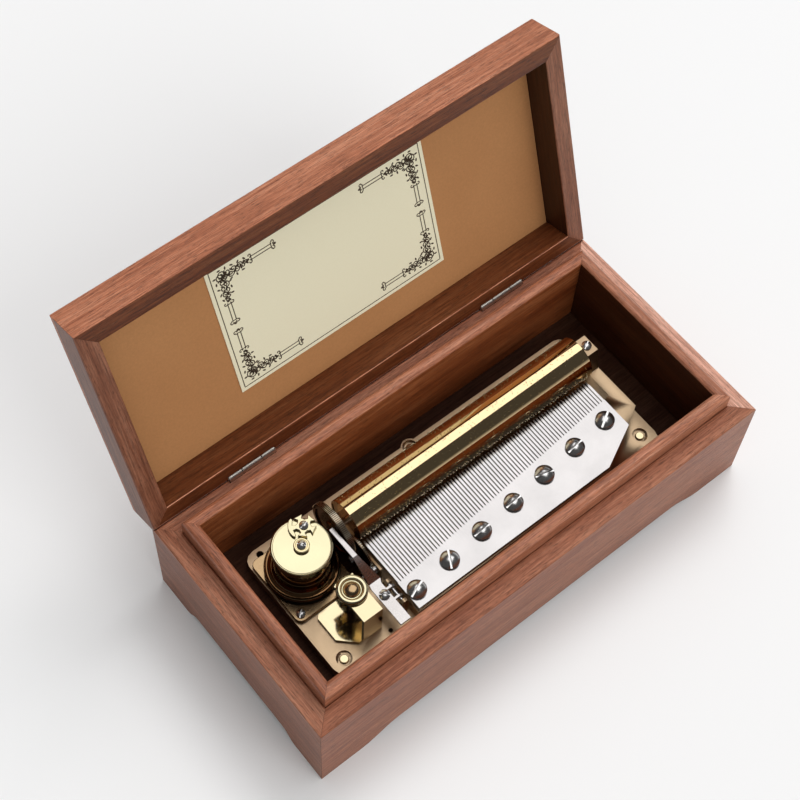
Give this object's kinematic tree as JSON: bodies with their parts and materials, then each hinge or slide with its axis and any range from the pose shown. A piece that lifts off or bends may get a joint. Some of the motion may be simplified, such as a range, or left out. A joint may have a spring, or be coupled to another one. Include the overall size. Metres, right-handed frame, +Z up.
{
  "type": "music box",
  "caption": "Open wooden music box: a hinged lid over a spring driven cylinder movement with a steel comb, spring barrel, governor and winding key",
  "frame": {"origin": "middle of the whole outline with the lid open, at the height of the surface the case stands on", "axes": "+X along the case to the right seen from the front, +Y from the front towards the hinged back, +Z up"},
  "size_m": [0.23, 0.159, 0.1552],
  "materials": {
    "case_wood": "satin lacquered reddish walnut, fine straight grain",
    "lining_wood": "satin lacquered reddish wood with a rounded top",
    "floor_wood": "dark unpolished board",
    "liner_paper": "matt dark red brown lining",
    "card": "cream printed card without print",
    "hinge_brass": "brushed yellow brass",
    "bed_casting": "warm polished casting, lacquered",
    "cylinder_brass": "polished brass, brown toned",
    "gold": "bright gilt",
    "comb_steel": "fine ground steel",
    "screw_steel": "polished steel",
    "dark_steel": "dark tempered steel",
    "lever_steel": "bright sheet steel"
  },
  "bodies": {
    "case": {"case_wall_front": "case_wood", "case_wall_back": "case_wood", "case_wall_left": "case_wood", "case_wall_right": "case_wood", "bottom_panel": "floor_wood", "lining_strip_front": "lining_wood", "lining_strip_back": "lining_wood", "lining_strip_left": "lining_wood", "lining_strip_right": "lining_wood", "hinge_left_case_leaf": "hinge_brass", "hinge_right_case_leaf": "hinge_brass", "bedplate": "bed_casting", "comb": "comb_steel", "comb_screw_1": "screw_steel", "comb_screw_2": "screw_steel", "comb_screw_3": "screw_steel", "comb_screw_4": "screw_steel", "comb_screw_5": "screw_steel", "comb_screw_6": "screw_steel", "comb_screw_7": "screw_steel", "movement_screw_1": "screw_steel", "movement_screw_2": "screw_steel", "movement_screw_3": "screw_steel", "right_bearing_block": "bed_casting", "bearing_block_screw": "screw_steel", "left_bearing_bracket": "bed_casting", "barrel_plate": "bed_casting", "barrel_plate_screw": "screw_steel", "governor_frame": "bed_casting", "governor_cap": "gold", "lever_pivot_pin": "screw_steel", "ratchet_click": "screw_steel"},
    "lid": {"lid_rail_front": "case_wood", "lid_rail_back": "case_wood", "lid_rail_left": "case_wood", "lid_rail_right": "case_wood", "lid_top_panel": "case_wood", "lid_lining": "liner_paper", "tune_card": "card", "hinge_left_lid_leaf": "hinge_brass", "hinge_right_lid_leaf": "hinge_brass"},
    "cylinder": {"pinned_cylinder": "cylinder_brass", "cylinder_arbor": "screw_steel", "great_gear": "gold"},
    "train_c": {"train_arbor_c": "screw_steel", "train_wheel_c": "gold"},
    "train_b": {"train_arbor_b": "screw_steel", "worm_wheel": "gold"},
    "fly": {"governor_fly": "screw_steel"},
    "barrel": {"spring_barrel": "cylinder_brass", "barrel_cap": "gold", "mainspring": "dark_steel", "stop_cross": "gold", "stop_cross_screw": "screw_steel"},
    "winding": {"winding_arbor": "screw_steel", "arbor_collar": "gold", "ratchet_wheel": "screw_steel", "winding_key": "gold"},
    "lever": {"stop_lever": "lever_steel", "lever_screw": "screw_steel"}
  },
  "joints": [
    {"name": "lid_hinge", "type": "hinge", "parent": "case", "child": "lid", "pos_m": [0, 0.02913, 0.0518], "axis": [1, 0, 0], "range_deg": [0, 108.1]},
    {"name": "cylinder_spin", "type": "hinge", "parent": "case", "child": "cylinder", "pos_m": [0, -0.01056, 0.0412], "axis": [1, 0, 0], "continuous": true},
    {"name": "train_c_spin", "type": "hinge", "parent": "case", "child": "train_c", "pos_m": [-0.052, -0.02226, 0.03351], "axis": [1, 0, 0], "continuous": true},
    {"name": "train_b_spin", "type": "hinge", "parent": "case", "child": "train_b", "pos_m": [-0.06, -0.03242, 0.03451], "axis": [1, 0, 0], "continuous": true},
    {"name": "fly_spin", "type": "hinge", "parent": "case", "child": "fly", "pos_m": [-0.0676, -0.03797, 0.03451], "axis": [0, 0, 1], "continuous": true},
    {"name": "barrel_spin", "type": "hinge", "parent": "case", "child": "barrel", "pos_m": [-0.0727, -0.01206, 0.04], "axis": [0, 0, 1], "continuous": true},
    {"name": "winding_spin", "type": "hinge", "parent": "case", "child": "winding", "pos_m": [-0.0727, -0.01206, 0.02], "axis": [0, 0, 1], "continuous": true},
    {"name": "stop_lever_swing", "type": "hinge", "parent": "case", "child": "lever", "pos_m": [-0.0515, -0.04596, 0.036], "axis": [0, -1, 0], "range_deg": [0, 3.5]}
  ],
  "couplings": [
    {"joint": "train_c_spin", "follows": "cylinder_spin", "ratio": -8.3333},
    {"joint": "train_b_spin", "follows": "cylinder_spin", "ratio": 48.333},
    {"joint": "fly_spin", "follows": "cylinder_spin", "ratio": 435},
    {"joint": "barrel_spin", "follows": "cylinder_spin", "ratio": -0.45833}
  ]
}
